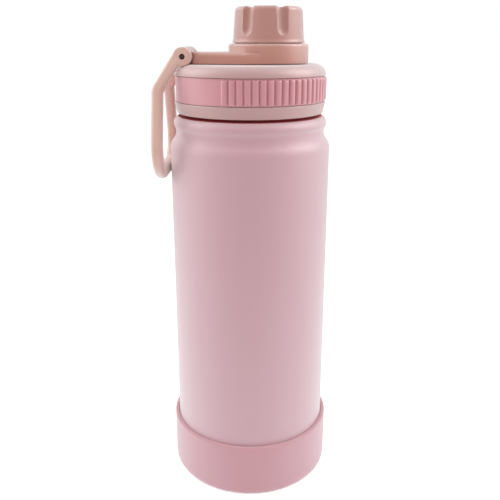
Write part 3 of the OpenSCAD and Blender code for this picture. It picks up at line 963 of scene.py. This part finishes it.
@dataclass
class Bail:
    """The carrying handle: crossbar, round corners, splayed legs, bent knees and eyes, in mm."""

    hinge: Hinge
    bar_x: float = -39.2
    bar_t: float = 4.8
    bar_w: float = 6.0
    bar_round: float = 1.7
    bar_steps: int = 6
    splay: float = 16.4
    crossbar_z: float = 152.3
    crossbar_half: float = 11.042
    corner_r: float = 11.8
    corner_steps: int = 24
    knee_z: float = 188.3
    knee_r: float = 4.5
    knee_steps: int = 10
    leg_t: float = 2.4
    leg_half: float = 2.1
    leg_mid: float = 12.6
    leg_inset: float = 0.1
    leg_steps: int = 6
    eye_round: float = 0.45
    eye_break: float = 0.2
    eye_steps: int = 72
    pin_room: float = 0.05
    bore_beyond: float = 1.0
    seam: float = 0.01

    def leg_line(self) -> tuple[Vector, Vector]:
        """Finds the straight leg.

        Returns:
            Its foot and its direction upwards, in mm.
        """
        turn = math.radians(self.splay)
        y = self.crossbar_half + self.corner_r * math.cos(turn)
        z = self.crossbar_z + self.corner_r + self.corner_r * math.sin(turn)
        return Vector((self.bar_x, y, z)), Vector((0, -math.sin(turn), math.cos(turn)))

    def slant_line(self) -> tuple[Vector, Vector, Vector]:
        """Finds the slanted leg.

        Returns:
            The knee, the leg's end in the eye, and the direction from one to the other, in mm.
        """
        foot, up = self.leg_line()
        knee = foot + up * ((self.knee_z - foot.z) / up.z)
        slope = math.atan2(self.hinge.z - knee.z, self.hinge.x - knee.x)
        off = self.hinge.barrel_r - self.leg_half - self.leg_inset
        x, z = self.hinge.x - off * math.sin(slope), self.hinge.z + off * math.cos(slope)
        end = Vector((x, self.leg_mid, z))
        return knee, end, (end - knee).normalized()

    def draw_half(self) -> bpy.types.Object:
        """Extrudes and spins the bar's section from the crossbar's middle to the eye.

        Returns:
            Half of the bail at +Y, in edit mode.
        """
        bpy.ops.object.select_all(action="DESELECT")
        bpy.ops.mesh.primitive_plane_add(size=1, rotation=(math.radians(90), 0, 0))
        half = bpy.context.object
        half.name = "bail"
        bpy.ops.object.transform_apply(location=False, rotation=True, scale=False)
        edit_all()
        bpy.ops.transform.resize(value=(self.bar_t * MM, 1, self.bar_w * MM))
        bpy.ops.transform.translate(value=(self.bar_x * MM, 0, self.crossbar_z * MM))
        bpy.ops.mesh.bevel(affect="VERTICES", offset=self.bar_round * MM, segments=self.bar_steps)
        self.pull(Vector((0, self.crossbar_half, 0)))
        centre = Vector((self.bar_x, self.crossbar_half, self.crossbar_z + self.corner_r))
        self.sweep(centre, Vector((1, 0, 0)), 90 + self.splay, self.corner_steps)
        foot, up = self.leg_line()
        knee, end, along = self.slant_line()
        bend = math.degrees(up.angle(along))
        run = self.knee_r * math.tan(math.radians(bend) / 2)
        self.pull(knee - up * run - foot)
        inward = (along - up * along.dot(up)).normalized()
        self.sweep(knee - up * run + inward * self.knee_r, up.cross(along), bend, self.knee_steps)
        span = end - (knee + along * run)
        for _ in range(self.leg_steps):
            self.pull(span / self.leg_steps)
        self.open_middle(half)
        return half

    def open_middle(self, half: bpy.types.Object) -> None:
        """Deletes the face at the crossbar's middle, where the mirror image joins.

        Args:
            half: Half of the bail, in edit mode.
        """
        bpy.ops.mesh.select_all(action="DESELECT")
        bpy.ops.object.mode_set(mode="OBJECT")
        for face in half.data.polygons:
            face.select = abs(face.center.y) < self.seam * MM
        bpy.ops.object.mode_set(mode="EDIT")
        bpy.ops.mesh.delete(type="FACE")

    def pull(self, by: Vector) -> None:
        """Extrudes the selected section by a vector in mm."""
        bpy.ops.mesh.extrude_region_move(TRANSFORM_OT_translate={"value": by * MM})

    def sweep(self, centre: Vector, axis: Vector, degrees: float, steps: int) -> None:
        """Spins the selected section about an axis through centre, which Blender takes left-handed."""
        bpy.ops.mesh.spin(steps=steps, angle=math.radians(degrees), center=centre * MM, axis=-axis)

    def slim_legs(self, half: bpy.types.Object) -> None:
        """Narrows the slanted leg from the knee to the eye.

        Args:
            half: Half of the bail, in object mode.
        """
        knee, end, along = self.slant_line()
        side = (Vector((0, 1, 0)) - along * along.y).normalized()
        flat = along.cross(side)
        length = (end - knee).length
        for point in half.data.vertices:
            place = point.co / MM
            run = (place - knee).dot(along)
            if run <= 0 or place.z < self.knee_z:
                continue
            share = smooth_step(run / length)
            middle = knee + along * run
            across, deep = (place - middle).dot(side), (place - middle).dot(flat)
            across *= 1 + (self.leg_t / self.bar_w - 1) * share
            deep *= 1 + (2 * self.leg_half / self.bar_t - 1) * share
            point.co = (middle + side * across + flat * deep) * MM

    def eye(self, side: int) -> bpy.types.Object:
        """Turns one eye with softened rims.

        Args:
            side: 1 for the eye at +Y, -1 for the one at -Y.

        Returns:
            The eye as a solid disc.
        """
        r, near, far = self.hinge.barrel_r, self.hinge.eye_in, self.hinge.eye_out
        section = [(0, near), (r - self.eye_break, near), (r, near + self.eye_break)]
        section += arc((r - self.eye_round, far - self.eye_round), self.eye_round, 0, 90, 5)
        section = [(radius, side * y) for radius, y in [*section, (0, far)]]
        return turned("eye", section, self.eye_steps, self.hinge.centre(), upright=False)

    def bore(self) -> bpy.types.Object:
        """Turns the rod that cuts the pin's bore out of both eyes.

        Returns:
            The rod.
        """
        reach = self.hinge.eye_out + self.bore_beyond
        radius = self.hinge.pin_r + self.pin_room
        section = [(0, -reach), (radius, -reach), (radius, reach), (0, reach)]
        return turned("bore", section, self.hinge.steps, self.hinge.centre(), upright=False)

    def build(self, wardrobe: Wardrobe) -> None:
        """Builds the bail: one half, its mirror image, the eyes and the pin's bore.

        Args:
            wardrobe: The finishes built so far.
        """
        half = self.draw_half()
        close_mesh(half)
        self.slim_legs(half)
        apply_modifier(
            half,
            "MIRROR",
            use_axis=(False, True, False),
            use_mirror_merge=True,
            merge_threshold=self.seam * MM,
        )
        for side in (1, -1):
            join_solid(half, self.eye(side), "UNION")
        join_solid(half, self.bore(), "DIFFERENCE")
        half.name = "bail_handle"
        bpy.ops.object.mode_set(mode="EDIT")
        close_mesh(half)
        settle(half, "handle", HANDLE_PP, wardrobe, "handle")


@dataclass
class ScrewThreads:
    """The threads of the neck, the lid's skirt and the spout, in mm."""

    cap: SpoutCap
    neck_r: float = 28.4
    neck_z: float = 180.6
    skirt_r: float = 29.8
    skirt_z: float = 182.6
    pitch: float = 4.0
    ridge: float = 0.9
    root_w: float = 1.5
    crest_w: float = 0.7
    spout_room: float = 1.0

    def build(self, wardrobe: Wardrobe) -> None:
        """Builds the three ridges on the bottle and on the lid.

        Args:
            wardrobe: The finishes built so far.
        """
        shape = {"pitch": self.pitch, "root_w": self.root_w, "crest_w": self.crest_w}
        neck = Thread("neck_thread", lambda z: self.neck_r, self.ridge, self.neck_z, **shape)
        settle(neck.build(), "bottle", DRAWN_STEEL, wardrobe)
        skirt = Thread("skirt_thread", lambda z: self.skirt_r, -self.ridge, self.skirt_z, **shape)
        settle(skirt.build(), "lid", LID_PP, wardrobe)
        hinge = self.cap.hinge
        spout = Thread(
            "spout_thread",
            lambda z: hinge.swing_r(z) - self.spout_room,
            height=0.4,
            foot_z=206.5,
            pitch=self.cap.thread_pitch,
            root_w=1.1,
            crest_w=0.5,
            centre_x=hinge.spout_x,
        )
        settle(spout.build(), "lid", LID_PP, wardrobe)


@dataclass
class Studio:
    """Floor, light and camera, in metres.

    The camera's lens and axis are in pixels of a picture that is image_px wide.
    """

    lens_px: float = 626.7
    image_px: float = 500.0
    axis_row_px: float = 225.0
    sensor_mm: float = 36.0
    clip_start: float = 0.01
    distance: float = 0.289
    height: float = 0.20947
    pitch_deg: float = 16.517
    turn_deg: float = 1.7
    floor_size: float = 8.0
    floor_tone: float = 0.8
    floor_lift: float = 0.6
    floor_gloss: float = 2.4
    gloss_span: Point = (0.1, 0.5)
    gloss_tint: Colour = (0.7, 0.86, 1.0, 1.0)
    fill: float = 0.74
    fill_tint: Colour = (1.0, 0.985, 0.98, 1.0)
    aim: Place = (0.0, 0.0, 0.12)
    box_size: float = 0.5
    side_place: Place = (0.62, -0.04, 0.3)
    side_watts: float = 1.4
    gloss_place: Place = (0.55, 0.05, 0.62)
    gloss_watts: Point = (3.2, 5.6)
    top_size: float = 0.6
    top_place: Place = (0.0, -0.1, 0.85)
    top_watts: float = 0.6

    def build_camera(self) -> None:
        """Places the camera where the photograph was taken."""
        data = bpy.data.cameras.new("camera")
        data.sensor_width = self.sensor_mm
        data.lens = self.lens_px * self.sensor_mm / self.image_px
        data.shift_y = (self.axis_row_px - self.image_px / 2) / self.image_px
        data.clip_start = self.clip_start
        camera = bpy.data.objects.new("camera", data)
        bpy.context.scene.collection.objects.link(camera)
        turn = math.radians(self.turn_deg)
        camera.location = (self.distance * math.sin(turn), -self.distance * math.cos(turn), self.height)
        camera.rotation_euler = (math.radians(90 - self.pitch_deg), 0, turn)
        bpy.context.scene.camera = camera

    def build_floor(self) -> None:
        """Lays a pale floor that shows the shadow, fades to white and lights up gloss near the bottle."""
        bpy.ops.object.select_all(action="DESELECT")
        bpy.ops.mesh.primitive_plane_add(size=self.floor_size, location=(0, 0, 0))
        floor = bpy.context.object
        floor.name = "floor"
        material = bpy.data.materials.new("floor_paper")
        tree = empty_tree(material)
        tone = (self.floor_tone, self.floor_tone, self.floor_tone, 1.0)
        paper = add_node(tree, "ShaderNodeBsdfDiffuse", Color=tone)
        rays = add_node(tree, "ShaderNodeLightPath").outputs
        lift = combine(tree, "MULTIPLY", rays["Is Camera Ray"], self.floor_lift)
        white = add_node(tree, "ShaderNodeEmission", Color=WHITE, Strength=lift)
        both = add_node(tree, "ShaderNodeAddShader", _0=paper.outputs[0], _1=white.outputs[0])
        place = add_node(tree, "ShaderNodeTexCoord").outputs["Object"]
        away = add_node(tree, "ShaderNodeVectorMath", {"operation": "LENGTH"}, _0=place)
        near = add_node(
            tree,
            "ShaderNodeMapRange",
            Value=away.outputs["Value"],
            From_Min=self.gloss_span[0],
            From_Max=self.gloss_span[1],
            To_Min=self.floor_gloss,
            To_Max=0.0,
        )
        shine = combine(tree, "MULTIPLY", rays["Is Glossy Ray"], near.outputs[0])
        card = add_node(tree, "ShaderNodeEmission", Color=self.gloss_tint, Strength=shine)
        both = add_node(tree, "ShaderNodeAddShader", _0=both.outputs[0], _1=card.outputs[0])
        add_node(tree, "ShaderNodeOutputMaterial", Surface=both.outputs[0])
        floor.data.materials.append(material)

    def build_light(self) -> None:
        """Sets a white surround, two side softboxes, a top one and two sheets that only light up gloss."""
        world = bpy.data.worlds.new("surround")
        bpy.context.scene.world = world
        tree = empty_tree(world)
        fill = add_node(tree, "ShaderNodeBackground", Color=self.fill_tint, Strength=self.fill)
        white = add_node(tree, "ShaderNodeBackground", Color=WHITE, Strength=1.0)
        rays = add_node(tree, "ShaderNodeLightPath").outputs
        clear = combine(tree, "MAXIMUM", rays["Is Camera Ray"], rays["Is Transmission Ray"])
        clear = combine(tree, "MAXIMUM", clear, rays["Is Glossy Ray"])
        both = add_node(tree, "ShaderNodeMixShader", _0=clear, _1=fill.outputs[0], _2=white.outputs[0])
        add_node(tree, "ShaderNodeOutputWorld", Surface=both.outputs[0])
        for name, side, watts in zip(("left", "right"), (-1, 1), self.gloss_watts):
            mirror = Vector((side, 1, 1))
            place = Vector(self.side_place) * mirror
            self.add_softbox("softbox_" + name, place, self.box_size, self.side_watts)
            place = Vector(self.gloss_place) * mirror
            sheet = self.add_softbox("gloss_sheet_" + name, place, self.box_size, watts)
            sheet.visible_diffuse = False
        self.add_softbox("softbox_top", Vector(self.top_place), self.top_size, self.top_watts)

    def add_softbox(self, name: str, place: Vector, size: float, watts: float) -> bpy.types.Object:
        """Hangs one square softbox that faces the bottle's middle.

        Args:
            name: Name of the lamp.
            place: Where it hangs, in metres.
            size: Its side in metres.
            watts: Its power.

        Returns:
            The lamp.
        """
        data = bpy.data.lights.new(name, "AREA")
        data.shape = "SQUARE"
        data.size = size
        data.energy = watts
        lamp = bpy.data.objects.new(name, data)
        bpy.context.scene.collection.objects.link(lamp)
        lamp.location = place
        lamp.rotation_euler = (Vector(self.aim) - place).to_track_quat("-Z", "Y").to_euler()
        return lamp

    def build(self) -> None:
        """Builds the whole studio."""
        self.build_camera()
        self.build_floor()
        self.build_light()
        bpy.context.scene.view_settings.view_transform = "Standard"


def main() -> None:
    """Builds the scene in order."""
    logging.basicConfig(level=logging.INFO, format="%(message)s")
    Studio().build()
    wardrobe = Wardrobe()
    wardrobe.dress_nodes()
    Shell().build(wardrobe)
    hinge = Hinge()
    hinge.build_pin(wardrobe)
    cap = SpoutCap(hinge)
    cap.build(wardrobe)
    CollarArm().build(wardrobe)
    GripBand().build(wardrobe)
    Bail(hinge).build(wardrobe)
    ScrewThreads(cap).build(wardrobe)


if __name__ == "__main__":
    main()
